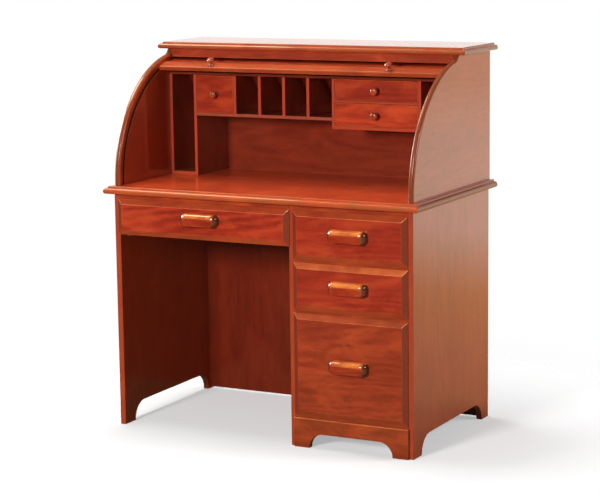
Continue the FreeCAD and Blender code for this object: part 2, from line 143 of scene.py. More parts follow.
# draws an outline from one point by extruding and spinning it, closes it, fills it and gives it thickness;
# a step is a point to go to, or an arc's centre, degrees and count;
# "side" is drawn in y and z and made thick along x, "front" is drawn in x and z and made thick along y
def drawBoard(name, plane, start, steps, first, last):
    sideways = plane == "side"

    def spot(p):
        return at(first, p[0], p[1]) if sideways else at(p[0], first, p[1])

    clearSelection()
    bpy.ops.mesh.primitive_plane_add(size=drawing["seed"], location=spot(start))
    piece = bpy.context.active_object
    piece.name = name
    settle(piece)
    enterEdit(piece)
    bpy.ops.mesh.select_mode(type="VERT")
    selectAll()
    bpy.ops.mesh.merge(type="CENTER")
    here = start
    for step in steps + [start]:
        if len(step) == 2:
            extrude(spot(step) - spot(here))
            here = step
        else:
            centre, degrees, count = step
            turn = math.radians(degrees)
            bpy.ops.mesh.spin(steps=count, angle=-turn, center=spot(centre),
                              axis=(1, 0, 0) if sideways else (0, -1, 0))
            dy, dz = here[0] - centre[0], here[1] - centre[1]
            here = (centre[0] + dy * math.cos(turn) - dz * math.sin(turn),
                    centre[1] + dy * math.sin(turn) + dz * math.cos(turn))
    selectAll()
    bpy.ops.mesh.remove_doubles(threshold=drawing["weld"])
    selectAll()
    bpy.ops.mesh.edge_face_add()
    push = Vector((last - first, 0, 0)) if sideways else Vector((0, last - first, 0))
    extrude(push / 1000)
    selectAll()
    bpy.ops.mesh.normals_make_consistent(inside=False)
    leaveEdit()
    return piece


def applyAll(piece):
    makeActive(piece)
    for name in [m.name for m in piece.modifiers]:
        bpy.ops.object.modifier_apply(modifier=name)


# adds a second solid to the piece, or cuts it away
def combine(piece, other, operation):
    change = piece.modifiers.new("combine", "BOOLEAN")
    change.operation = operation
    change.solver = "EXACT"
    change.object = other
    applyAll(piece)
    bpy.data.objects.remove(other)


# one number per face, for the finish to read
def setMarks(piece, name, values):
    piece.data.attributes[name].data.foreach_set("value", values)
    return piece


easing = {"empty": 2e-6, "evenWeight": 60}


# breaks the sharp arrises, clears empty faces, marks the arrises for the finish and evens the shading
def easeArrises(piece, wood, width=0.8, segments=2, angle=28, clamp=True):
    piece.data.materials.clear()
    piece.data.materials.append(wood)
    piece.data.materials.append(wood)
    soft = piece.modifiers.new("arris", "BEVEL")
    soft.width = width / 1000
    soft.segments = segments
    soft.limit_method = "ANGLE"
    soft.angle_limit = math.radians(angle)
    soft.material = 1
    soft.use_clamp_overlap = clamp
    applyAll(piece)
    enterEdit(piece)
    selectAll()
    bpy.ops.mesh.dissolve_degenerate(threshold=easing["empty"])
    leaveEdit()
    mesh = piece.data
    marks = [0] * len(mesh.polygons)
    mesh.polygons.foreach_get("material_index", marks)
    ends = [abs(p.normal["xyz".index(wood["grain"])]) for p in mesh.polygons]
    for name, values in (("arris", [float(m) for m in marks]), ("endGrainAndShade", ends)):
        mesh.attributes.new(name, "FLOAT", "FACE")
        setMarks(piece, name, values)
    mesh.polygons.foreach_set("material_index", [0] * len(marks))
    mesh.materials.pop(index=1)
    bpy.ops.object.shade_smooth()
    even = piece.modifiers.new("even", "WEIGHTED_NORMAL")
    even.weight = easing["evenWeight"]
    applyAll(piece)
    return piece


# front edges are rubbed to the clear red of the drawer fronts
def markFronts(piece):
    return setMarks(piece, "arris", [float(f.normal.y < -facing["front"]) for f in piece.data.polygons])


# painted shade: inner faces take the dark second tone, standing in for the shade inside the kneehole and
# the hood; way is the side they look to
def paintShadeInside(piece, way, amount):
    for mark, face in zip(piece.data.attributes["arris"].data, piece.data.polygons):
        if face.normal.x * way > facing["flat"]:
            mark.value = amount
    return piece


def joinBoards(name, boards):
    clearSelection()
    for board in boards:
        board.select_set(True)
    bpy.context.view_layer.objects.active = boards[0]
    bpy.ops.object.join()
    piece = bpy.context.active_object
    piece.name = name
    return piece


def pieceName(node):
    first, *rest = node.split("_")
    return first + "".join(word.capitalize() for word in rest)


# hands a finished piece to the frame in place of its node
def place(piece, node):
    piece.name = pieceName(node)
    piece.data.name = piece.name
    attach(piece, bodyOf[node])
    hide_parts(node)
    return piece


# finishes

# what each effect takes from a wood's look
grainTakes = ("Light", "Dark", "Warm", "Rings", "Streaks", "Blotch", "Rough")
wearAndPaintedLightTakes = ("Worn", "Wear", "Coat", "End Tone", "End Stain", "End Dull")
colourSockets = ("Light", "Dark", "Warm", "Colour", "Worn", "End Tone")


def newGroup(name, takes, gives):
    group = bpy.data.node_groups.new(name, "ShaderNodeTree")
    for way, titles in (("INPUT", takes), ("OUTPUT", gives)):
        for title in titles:
            kind = "Color" if title in colourSockets else "Vector" if title == "Place" else "Float"
            group.interface.new_socket(name=title, in_out=way, socket_type="NodeSocket" + kind)
    return group, group.nodes.new("NodeGroupInput"), group.nodes.new("NodeGroupOutput")


# a socket takes a link or a plain value
def feed(tree, socket, value):
    if isinstance(value, bpy.types.NodeSocket):
        tree.links.new(value, socket)
    else:
        socket.default_value = value


def blankTree(holder):
    holder.use_nodes = True
    holder.node_tree.nodes.clear()
    return holder.node_tree


def addNode(tree, kind, settings=None, **values):
    node = tree.nodes.new(kind)
    for key, value in (settings or {}).items():
        setattr(node, key, value)
    for key, value in values.items():
        key = key.replace("_", " ")
        feed(tree, node.inputs[int(key)] if key.isdigit() else node.inputs[key], value)
    return node


def sums(tree, operation, *values):
    node = addNode(tree, "ShaderNodeMath", {"operation": operation})
    for socket, value in zip(node.inputs, values):
        feed(tree, socket, value)
    return node.outputs[0]


def mixColour(tree, blend, factor, a, b):
    node = addNode(tree, "ShaderNodeMix", {"data_type": "RGBA", "blend_type": blend})
    for socket, value in zip((node.inputs[0], node.inputs[6], node.inputs[7]), (factor, a, b)):
        feed(tree, socket, value)
    return node.outputs[2]


def stretched(tree, vector, scale):
    return addNode(tree, "ShaderNodeMapping", Vector=vector, Scale=scale).outputs[0]


def noise(tree, vector, detail, rough=0.55, distortion=0.0):
    return addNode(tree, "ShaderNodeTexNoise", Vector=vector, Scale=1.0, Detail=detail, Roughness=rough,
                   Distortion=distortion).outputs["Fac"]


def remap(tree, value, low, high, toLow, toHigh):
    node = addNode(tree, "ShaderNodeMapRange", {"clamp": True}, Value=value)
    for key, number in zip(("From Min", "From Max", "To Min", "To Max"), (low, high, toLow, toHigh)):
        node.inputs[key].default_value = number
    return node.outputs[0]


# each pattern: stretch along and across the grain, detail, roughness, distortion
grainPatterns = {"band": ((1.1, 13, 13), 3, 0.5, 0.5), "streak": ((2.6, 62, 62), 6, 0.62, 0.5),
                 "fibre": ((9, 430, 430), 3, 0.6), "cloud": ((6.5, 15, 15), 4, 0.6, 1.0),
                 "fleck": ((16, 170, 170), 3, 0.5), "pores": ((40, 1100, 1100), 2),
                 "wander": ((2.4, 10, 10), 2)}
grainMix = {"middle": 0.5, "band": 1.3, "streak": 1.5, "fibre": 0.45, "fleckFrom": (0.6, 0.74),
            "poresFrom": (0.6, 0.72), "warmFrom": (0.5, 0.72), "shadeFrom": (0.5, 0.28), "base": 0.52,
            "range": (0.02, 0.98), "shade": (0.42, 0.36, 0.34, 1), "fleck": (0.4, 0.28, 0.22, 1),
            "pores": (0.25, 0.14, 0.1, 1), "part": 0.4, "fibreRough": 0.25, "poresRough": 0.12}
growthRings = {"wander": (0, 0.05, 0.07), "lean": (0, 0.09, 0.07), "scale": 19.0, "distortion": 2.5,
               "detail": 3.0, "detailScale": 1.5}


# cherry: broad bands, streaks, soft growth rings, flecks and fine fibres, along x of the place it is given
def buildGrainGroup():
    tree, given, out = newGroup("cherryGrain", ("Place",) + grainTakes, ("Colour", "Rough", "Relief"))
    take, s, r = given.outputs, grainMix, growthRings

    def pattern(name):
        stretch, *rest = grainPatterns[name]
        return noise(tree, stretched(tree, take["Place"], stretch), *rest)

    def centred(name, gain):
        return sums(tree, "MULTIPLY", sums(tree, "SUBTRACT", pattern(name), s["middle"]), gain)

    def darken(body, part, tint):
        return mixColour(tree, "MULTIPLY", part, body, tint)

    band, streak, fibre = (centred(name, s[name]) for name in ("band", "streak", "fibre"))
    cloud = pattern("cloud")
    fleck = remap(tree, pattern("fleck"), *s["fleckFrom"], 0, 1)
    pores = remap(tree, pattern("pores"), *s["poresFrom"], 0, 1)
    wander = sums(tree, "SUBTRACT", pattern("wander"), s["middle"])
    astray = addNode(tree, "ShaderNodeCombineXYZ", Y=wander, Z=wander).outputs[0]
    bent = addNode(tree, "ShaderNodeVectorMath", {"operation": "MULTIPLY_ADD"},
                   **{"0": astray, "1": r["wander"], "2": take["Place"]}).outputs[0]
    leaning = addNode(tree, "ShaderNodeMapping", Vector=bent, Rotation=r["lean"]).outputs[0]
    rings = addNode(tree, "ShaderNodeTexWave", {"wave_type": "RINGS", "rings_direction": "X"},
                    Vector=leaning, Scale=r["scale"], Distortion=r["distortion"], Detail=r["detail"],
                    Detail_Scale=r["detailScale"]).outputs["Fac"]
    tone = sums(tree, "MULTIPLY_ADD", sums(tree, "ADD", band, streak), take["Streaks"], s["base"])
    tone = sums(tree, "MULTIPLY_ADD", sums(tree, "SUBTRACT", s["middle"], rings), take["Rings"], tone)
    tone = remap(tree, sums(tree, "ADD", tone, fibre), *s["range"], 0, 1)
    body = mixColour(tree, "MIX", tone, take["Dark"], take["Light"])
    warmth = sums(tree, "MULTIPLY", remap(tree, cloud, *s["warmFrom"], 0, 1), take["Blotch"])
    body = mixColour(tree, "MIX", warmth, body, take["Warm"])
    shade = sums(tree, "MULTIPLY", remap(tree, cloud, *s["shadeFrom"], 0, 1), take["Blotch"])
    body = darken(body, shade, s["shade"])
    body = darken(body, sums(tree, "MULTIPLY", fleck, s["part"]), s["fleck"])
    body = darken(body, sums(tree, "MULTIPLY", pores, s["part"]), s["pores"])
    rough = sums(tree, "ADD", sums(tree, "MULTIPLY", fibre, s["fibreRough"]), take["Rough"])
    rough = sums(tree, "MULTIPLY_ADD", pores, s["poresRough"], rough)
    relief = sums(tree, "SUBTRACT", fibre, pores)
    for title, socket in (("Colour", body), ("Rough", rough), ("Relief", relief)):
        tree.links.new(socket, out.inputs[title])
    return tree


edgeWearAndPaintedLight = {"endFrom": (0.25, 0.55), "patch": (14, 14, 14), "patchDetail": 4, "patchRough": 0.6,
            "patchRange": (0.35, 0.65, 0.35, 1), "rough": 0.1}


# edges and marked faces: the second tone is wear on eased arrises and painted light and shade where a piece
# marks it, and is duller; end grain drinks more stain and takes less lacquer, and the same end mask carries
# painted shade
def buildWearAndPaintedLightGroup():
    takes = ("Place", "Colour", "Rough") + wearAndPaintedLightTakes
    tree, given, out = newGroup("arrisWear", takes, ("Colour", "Rough", "Coat"))
    take, s = given.outputs, edgeWearAndPaintedLight
    edge = addNode(tree, "ShaderNodeAttribute", {"attribute_name": "arris"}).outputs["Fac"]
    end = addNode(tree, "ShaderNodeAttribute", {"attribute_name": "endGrainAndShade"}).outputs["Fac"]
    end = remap(tree, end, *s["endFrom"], 0, 1)
    patch = noise(tree, stretched(tree, take["Place"], s["patch"]), s["patchDetail"], s["patchRough"])
    mask = sums(tree, "MULTIPLY", edge, remap(tree, patch, *s["patchRange"]))
    mask = sums(tree, "MULTIPLY", mask, take["Wear"])
    stain = sums(tree, "MULTIPLY", end, take["End Stain"])
    body = mixColour(tree, "MIX", stain, take["Colour"], take["End Tone"])
    body = mixColour(tree, "MIX", mask, body, take["Worn"])
    rough = sums(tree, "MULTIPLY_ADD", mask, s["rough"], take["Rough"])
    coat = sums(tree, "SUBTRACT", 1.0, sums(tree, "MULTIPLY", end, take["End Dull"]))
    coat = sums(tree, "MULTIPLY", coat, take["Coat"])
    for title, socket in (("Colour", body), ("Rough", rough), ("Coat", coat)):
        tree.links.new(socket, out.inputs[title])
    return tree


grainGroup = buildGrainGroup()
wearAndPaintedLightGroup = buildWearAndPaintedLightGroup()

cherry = {"light": (0.46, 0.040, 0.012), "dark": (0.20, 0.011, 0.005), "warm": (0.56, 0.085, 0.018),
          "worn": (0.62, 0.18, 0.045), "rings": 0.2, "streaks": 0.5, "blotch": 0.45, "rough": 0.36,
          "coat": 1.0, "coatRough": 0.06, "coatIor": 1.65, "ior": 1.48, "wear": 0.5, "endDull": 0.15,
          "endTone": (0.26, 0.07, 0.013), "endStain": 0.8, "relief": 0.06, "reliefDeep": 0.0004}
turns = {"x": (0, 0, 0), "y": (0, 0, math.pi / 2), "z": (0, -math.pi / 2, 0)}


# a look's values by socket title: "End Tone" is kept as endTone, and colours get their fourth value
def pickLook(look, titles):
    values = {title: look[title[0].lower() + title[1:].replace(" ", "")] for title in titles}
    return {title: value + (1,) if title in colourSockets else value for title, value in values.items()}


# a lacquered wood with its grain along one axis and its growth rings round a chosen centre
def makeWood(name, grain, centre, **changes):
    look = dict(cherry, **changes)
    wood = bpy.data.materials.new(name)
    wood["grain"] = grain
    tree = blankTree(wood)
    spot = addNode(tree, "ShaderNodeTexCoord").outputs["Object"]
    turn = Vector(turns[grain]) + Vector(look.get("lean", (0, 0, 0)))
    lie = addNode(tree, "ShaderNodeMapping", {"vector_type": "TEXTURE"}, Vector=spot, Location=at(*centre),
                  Rotation=turn).outputs[0]
    grainNode = addNode(tree, "ShaderNodeGroup", {"node_tree": grainGroup}, Place=lie,
                        **pickLook(look, grainTakes))
    wearAndPaintedLightNode = addNode(tree, "ShaderNodeGroup", {"node_tree": wearAndPaintedLightGroup}, Place=lie,
                       Colour=grainNode.outputs["Colour"], Rough=grainNode.outputs["Rough"],
                       **pickLook(look, wearAndPaintedLightTakes))
    bump = addNode(tree, "ShaderNodeBump", Strength=look["relief"], Distance=look["reliefDeep"],
                   Height=grainNode.outputs["Relief"])
    shader = addNode(tree, "ShaderNodeBsdfPrincipled", Base_Color=wearAndPaintedLightNode.outputs["Colour"],
                     Roughness=wearAndPaintedLightNode.outputs["Rough"], Normal=bump.outputs[0], IOR=look["ior"],
                     Coat_Weight=wearAndPaintedLightNode.outputs["Coat"], Coat_Roughness=look["coatRough"],
                     Coat_IOR=look["coatIor"])
    tree.links.new(shader.outputs[0], addNode(tree, "ShaderNodeOutputMaterial").inputs[0])
    return wood


# sideTone's dark second tone is painted shade on the inner faces of the side panels and hood sides; on the
# side panels it also colours the front edges
sideTone = {"light": (0.50, 0.072, 0.019), "dark": (0.30, 0.032, 0.01), "warm": (0.56, 0.11, 0.026),
            "blotch": 0.2, "worn": (0.30, 0.037, 0.012), "wear": 1.0}
innerTone = {"light": (0.35, 0.073, 0.037), "dark": (0.20, 0.038, 0.02), "warm": (0.42, 0.085, 0.03),
             "blotch": 0.3, "worn": (0.40, 0.038, 0.012), "wear": 1.0}
backTone = {"warm": (0.22, 0.03, 0.009), "blotch": 0.3, "coat": 0.6}
# topTone's second tone is painted shade on the moulded nose of the worktop and cap
topTone = {"worn": (0.28, 0.07, 0.014), "wear": 0.85, "endStain": 0.85}
sideWood = makeWood("sideWood", "z", (640, 250, 300), **sideTone)
backWood = makeWood("backWood", "z", (-150, 640, 300), rings=0.06, light=(0.205, 0.021, 0.0075),
                    dark=(0.10, 0.0095, 0.004), **backTone)
unitBackWood = makeWood("unitBackWood", "x", (0, 620, 870), rings=0.3, light=(0.235, 0.027, 0.0105),
                        dark=(0.13, 0.0135, 0.0055), **backTone)
topWood = makeWood("topWood", "x", (0, 250, 700), light=(0.66, 0.077, 0.02), dark=(0.33, 0.026, 0.009),
                   warm=(0.66, 0.12, 0.026), coat=0.7, **topTone)
capWood = makeWood("capWood", "x", (0, 450, 1120), **topTone)
hoodWood = makeWood("hoodWood", "y", (600, 250, 920), lean=(0.16, 0, 0), rings=0.12, streaks=0.4,
                    endDull=0.35, endStain=0.95, endTone=(0.17, 0.038, 0.01), **sideTone)
railWood = makeWood("railWood", "x", (0, 300, 560), light=(0.38, 0.048, 0.014), dark=(0.2, 0.02, 0.007))
skirtWood = makeWood("skirtWood", "x", (300, 60, 20), light=(0.33, 0.047, 0.012), dark=(0.18, 0.02, 0.007),
                     wear=0.9)
uprightWood = makeWood("uprightWood", "z", (0, 420, 800), **innerTone)
shelfWood = makeWood("shelfWood", "x", (0, 420, 870), **innerTone)
# shaded copy of the cherry: the unit's top board is painted dark because it stands in the lift rail's
# shadow
shadedUnitTopWood = makeWood("shadedUnitTopWood", "x", (0, 420, 1140), light=(0.17, 0.022, 0.009),
                       dark=(0.1, 0.011, 0.005), warm=(0.2, 0.03, 0.01), worn=(0.2, 0.03, 0.011), coat=0.3)
slatWood = makeWood("slatWood", "x", (0, 250, 1000))
# liftWood's near-black end tone colours the rail's end grain and paints the shadow strip along its rear
# edge
liftWood = makeWood("liftWood", "x", (0, 200, 1050), light=(0.32, 0.049, 0.0105),
                    dark=(0.23, 0.029, 0.0065), warm=(0.38, 0.07, 0.014), coat=0.15,
                    endTone=(0.05, 0.012, 0.004), endStain=0.95)
# shaded copy of the cherry: the header is painted darker because it stands in the cap's shadow
headerWood = makeWood("headerWood", "x", (0, 330, 1100), light=(0.36, 0.042, 0.013),
                      dark=(0.22, 0.02, 0.008), coat=0.5)
handled = {"rough": 0.24, "coatRough": 0.03, "coatIor": 1.9}  # polished by hands
# the pull's pale second tone is painted light on its upper side; its dark end tone is end-grain stain, set
# dark enough to be painted shade on the right end too
pullWood = makeWood("pullWood", "x", (0, 60, 450), light=(0.38, 0.036, 0.011), dark=(0.22, 0.016, 0.006),
                    worn=(0.8, 0.23, 0.04), wear=1.0, endTone=(0.07, 0.018, 0.006), endStain=0.9, **handled)
knobWood = makeWood("knobWood", "y", (0, 200, 1000), light=(0.35, 0.058, 0.018), dark=(0.18, 0.024, 0.009),
                    **handled)
# frontTone: the pale second tone is painted light and painted highlight on the fronts; the end tone is
# end-grain stain on the side bevels and painted shade on the others
frontTone = {"wear": 1.0, "worn": (0.66, 0.155, 0.036), "endTone": (0.19, 0.0195, 0.006), "endStain": 0.95}
frontWoods = {
    "knee": makeWood("kneeFrontWood", "x", (-40, 26, 640), rings=0.45, **frontTone),
    "upper": makeWood("upperFrontWood", "x", (300, 40, 690), light=(0.42, 0.036, 0.0115), **frontTone),
    "middle": makeWood("middleFrontWood", "x", (340, 34, 520), light=(0.42, 0.039, 0.012), **frontTone),
    "file": makeWood("fileFrontWood", "x", (280, 60, 300), rings=0.3, light=(0.355, 0.043, 0.012),
                     dark=(0.19, 0.016, 0.006), **frontTone)}
# shaded and lit copies of the cherry: the letter and upper bank fronts are darker as they stand in the lift
# rail's shadow, the lower bank front is lighter as it is lit
smallFronts = {
    "letter_drawer": ("letterFrontWood", (-300, 370, 1000), (0.345, 0.034, 0.0115)),
    "bank_upper_drawer": ("shadedBankUpperWood", (100, 370, 1060), (0.35, 0.0335, 0.011)),
    "bank_lower_drawer": ("litBankLowerWood", (300, 370, 990), (0.56, 0.061, 0.0172))}
smallFrontWoods = {drawer: makeWood(name, "x", centre, rings=0.3, light=light)
                   for drawer, (name, centre, light) in smallFronts.items()}
paleLook = {"light": (0.62, 0.43, 0.25), "dark": (0.44, 0.28, 0.14), "warm": (0.66, 0.46, 0.26),
            "worn": (0.68, 0.5, 0.32), "rough": 0.5, "coat": 0.12, "coatRough": 0.3,
            "endTone": (0.42, 0.27, 0.14), "endStain": 0.6, "relief": 0.12}
boxSideWood = makeWood("boxSideWood", "y", (0, 250, 300), **paleLook)
boxRearWood = makeWood("boxRearWood", "x", (0, 500, 300), **paleLook)
print("finishes:", len(bpy.data.materials), "materials")

# lower case

# inside: the way each panel's inner face looks and how much painted shade it takes
sidePanels = {"foot": 60, "rearFoot": 52, "arch": 57, "archSteps": 10, "frontRound": 3, "roundSteps": 3,
              "ease": 0.7, "inside": {"side_panel_left": (1, 0.55), "side_panel_right": (-1, 0.55)}}


def addPanel(node):
    x0, x1, y0, y1, z0, z1 = span(node)
    s = sidePanels
    foot, arch, count = s["foot"], s["arch"], s["archSteps"]
    front, rear = foot + arch, y1 - s["rearFoot"] - arch
    piece = drawBoard(node, "side", (0, 0), [
        (foot, 0), ((front, 0), -90, count), (rear, arch), ((rear, 0), -90, count),
        (y1, 0), (y1, z1), (0, z1)], x0, x1)
    frontY = at(0, 0, 0).y
    roundEdges(piece, lambda a, b: runsAlong(a, b, 2) and near(a.y, frontY),
               s["frontRound"], s["roundSteps"])
    markFronts(easeArrises(piece, sideWood, s["ease"]))
    return paintShadeInside(piece, *s["inside"][node]) if node in s["inside"] else piece


for node in ("side_panel_left", "side_panel_right", "pedestal_panel"):
    place(addPanel(node), node)

plainBoards = {  # wood, slot, easing
    "base_back_panel": (backWood, "cherry_panel", 0.6), "pedestal_bottom": (railWood, "cherry_board", 0.8),
    "header_rail": (headerWood, "cherry_board", 1.2), "hood_back_panel": (backWood, "cherry_panel", 0.6),
    "pigeonhole_shelf": (shelfWood, "cherry_board", 0.8),
    "pigeonhole_top": (shadedUnitTopWood, "cherry_board", 0.8)}
for node, (wood, slot, ease) in plainBoards.items():
    place(easeArrises(addBoard(node, *span(node)), wood, ease), node)

# worktop and cap: rounded nose, then a step up to the upper slab; the rear edge stays square
mouldedEdge = {"stepTall": 6, "step": 11.5, "nose": 9.5, "under": 7, "flat": 0.4, "topRound": 3.4,
               "noseSteps": 8, "underSteps": 5, "topSteps": 4, "sunk": 1, "ease": (0.35, 1, 50),
               "paintedShadeUp": 0.98, "paintedShadeRear": 0.9, "paintedShadeFrom": 3}


def addMouldedBoard(node, wood):
    x0, x1, y0, y1, z0, z1 = span(node)
    s = mouldedEdge
    shoulder = z1 - s["stepTall"]
    step, nose = s["step"], min(s["nose"], shoulder - z0 - s["under"] - s["flat"])
    rearY, paintedShadeZ = at(0, y1, 0).y, at(0, 0, z0 + s["paintedShadeFrom"]).z

    def rim(height):
        z = at(0, 0, height).z
        return lambda a, b: near(a.z, z) and near(b.z, z) and not (near(a.y, rearY) and near(b.y, rearY))

    # painted shade: the nose and step faces take the second tone, a darker, more orange red than the top,
    # set for how the lit edge looks
    def paintedLight(face):
        up, back = abs(face.normal.z), face.normal.y
        return up < s["paintedShadeUp"] and back < s["paintedShadeRear"] and face.center.z > paintedShadeZ

    lower = addBoard(node, x0, x1, y0, y1, z0, shoulder)
    roundEdges(lower, rim(shoulder), nose, s["noseSteps"])
    roundEdges(lower, rim(z0), s["under"], s["underSteps"])
    upper = addBoard("upperSlab", x0 + step, x1 - step, y0 + step, y1, shoulder - s["sunk"], z1)
    roundEdges(upper, rim(z1), s["topRound"], s["topSteps"])
    combine(lower, upper, "UNION")
    easeArrises(lower, wood, *s["ease"], clamp=False)
    return setMarks(lower, "arris", [float(paintedLight(face)) for face in lower.data.polygons])


place(addMouldedBoard("worktop", topWood), "worktop")
place(addMouldedBoard("cap_board", capWood), "cap_board")

railBoards = {"deep": 60, "ease": 0.7, "places": (  # x and z
    (122, 489, 405, 424), (122, 489, 558, 577), (122, 489, 718, 736), (-489, 103, 718, 736))}
rails = [addBoard("rail", x0, x1, 0, railBoards["deep"], z0, z1) for x0, x1, z0, z1 in railBoards["places"]]
place(joinBoards("rails", [easeArrises(rail, railWood, railBoards["ease"]) for rail in rails]),
      "face_rails")

runnerBoards = {"wide": 12, "end": 520, "ease": 0.8, "places": (  # x, front and z
    (122, 60, 405, 424), (477, 60, 405, 424), (122, 60, 558, 577), (477, 60, 558, 577),
    (-489, 40, 599, 613), (91, 40, 599, 613))}
runners = [addBoard("runner", x, x + runnerBoards["wide"], front, runnerBoards["end"], z0, z1)
           for x, front, z0, z1 in runnerBoards["places"]]
place(joinBoards("runners", [easeArrises(r, boxSideWood, runnerBoards["ease"]) for r in runners]),
      "drawer_runners")

# bracket skirt: face board and core share one arch
skirtBoard = {"face": (117, 494, -8, 0, 91), "core": (122, 489, 0, 11, 80), "foot": 51, "arch": 45,
              "archSteps": 10, "topRound": 3, "topSteps": 4, "ease": 0.8, "paintedLight": 0.15}


def addSkirtLayer(x0, x1, y0, y1, high):
    foot, arch, count = skirtBoard["foot"], skirtBoard["arch"], skirtBoard["archSteps"]
    left, right = skirtBoard["face"][0] + foot + arch, skirtBoard["face"][1] - foot - arch
    return drawBoard("skirtLayer", "front", (x0, 0), [
        (left - arch, 0), ((left, 0), -90, count), (right, arch), ((right, 0), -90, count),
        (x1, 0), (x1, high), (x0, high)], y0, y1)


# painted highlight: the upper front edge is painted paler where a highlight runs along it
def finishSkirt(layer):
    easeArrises(layer, skirtWood, skirtBoard["ease"])
    least = skirtBoard["paintedLight"]
    paintedLight = [float(f.normal.z > least and f.normal.y < -least) for f in layer.data.polygons]
    return setMarks(layer, "arris", paintedLight)


skirtFace = addSkirtLayer(*skirtBoard["face"])
skirtNose = at(0, skirtBoard["face"][2], skirtBoard["face"][4])
roundEdges(skirtFace, lambda a, b: all(near(p.z, skirtNose.z) and near(p.y, skirtNose.y) for p in (a, b)),
           skirtBoard["topRound"], skirtBoard["topSteps"])
skirtLayers = [skirtFace, addSkirtLayer(*skirtBoard["core"])]
place(joinBoards("skirt", [finishSkirt(layer) for layer in skirtLayers]), "skirt")
print("lower case done")

# lower drawers

# by bevel band: the side bevels' stain is real end-grain stain, the other darkening is painted shade, and
# the pale shares are painted light
frontBlock = {"plate": 2, "lip": 0.4, "bevelWide": 17, "bevelDeep": 10, "ease": (1.8, 3, 20),
              "coreEase": 0.6, "sideTurn": 0.3, "topTurn": 0.4, "underTurn": -0.3,
              "highlightTurn": 0.08, "highlightLess": 0.15,
              "stain": {"side": 1.0, "under": 0.38, "knee": 0.4, "upper": 0.4},
              "rub": {"side": 0.0, "under": 0.2, "knee": 0.18, "upper": 0.18, "middle": 0.66, "file": 0.28},
              "cores": {"knee": (-487, 101, 615, 716), "upper": (124, 487, 579, 716),
                        "middle": (124, 487, 426, 556), "file": (124, 487, 102, 403)}}


# the bevel a face belongs to: the top one is known by its drawer, the flat has none
def bevelBand(normal, name):
    s = frontBlock
    if normal.y < -facing["flat"]:
        return "flat"
    if abs(normal.x) > s["sideTurn"]:
        return "side"
    return name if normal.z > s["topTurn"] else "under" if normal.z < s["underTurn"] else "flat"


def addDrawerFront(name):
    node = name + "_drawer_front"
    x0, x1, y0, y1, z0, z1 = span(node)
    s = frontBlock
    piece = addBoard(node, x0, x1, -s["plate"], -s["lip"], z0, z1)
    enterEdit(piece)
    pickFront(piece)
    bpy.ops.mesh.inset(thickness=s["bevelWide"] / 1000, depth=s["bevelDeep"] / 1000)
    leaveEdit()
    easeArrises(piece, frontWoods[name], *s["ease"])
    faces, arrises = piece.data.polygons, piece.data.attributes["arris"].data
    bands = [bevelBand(f.normal, name) for f in faces]  # end-grain stain on the side bevels; painted shade on the bottom bevel and on the knee and upper top bevels under the worktop's nose; painted light on the other top bevels and a painted highlight along upward arrises
    setMarks(piece, "endGrainAndShade", [s["stain"].get(band, 0.0) for band in bands])
    paintedLightShares = [m.value * (1.0 if f.normal.z > s["highlightTurn"] else s["highlightLess"])
            for m, f in zip(arrises, faces)]
    setMarks(piece, "arris", [s["rub"].get(band, rub) for band, rub in zip(bands, paintedLightShares)])
    coreX0, coreX1, coreZ0, coreZ1 = s["cores"][name]
    core = addBoard("core", coreX0, coreX1, -s["lip"], y1, coreZ0, coreZ1)
    return joinBoards(node, [piece, easeArrises(core, frontWoods[name], s["coreEase"])])


drawerBox = {"side": 12, "rear": 12, "sheet": 6, "sheetUp": 10, "ease": 0.9}


def addDrawerBox(node, s):
    x0, x1, y0, y1, z0, z1 = span(node)
    side, rear = s["side"], s["rear"]
    boards = [addBoard("boxSide", x, x + side, y0, y1, z0, z1) for x in (x0, x1 - side)]
    boards = [easeArrises(board, boxSideWood, s["ease"]) for board in boards]
    rearBoard = addBoard("boxRear", x0 + side, x1 - side, y1 - rear, y1, z0, z1)
    sheetZ = z0 + s["sheetUp"]
    sheet = addBoard("boxSheet", x0 + side, x1 - side, y0, y1 - rear, sheetZ, sheetZ + s["sheet"])
    boards += [easeArrises(board, boxRearWood, s["ease"]) for board in (rearBoard, sheet)]
    return joinBoards(node, boards)


# pull: a rounded block that draws in to a narrower nose, fuller below than above
# the upper side's painted light fades in between the two normal heights given below and out towards the
# ends
pullBlock = {"corner": 16, "cornerSteps": 8, "waist": 8, "waistLess": 3, "noseWide": 84, "noseTall": 20,
             "noseDrop": 6, "steps": 10, "ease": (0.6, 2, 50), "paintedLight": (0.03, 0.32), "paintedLightEnd": 0.5}


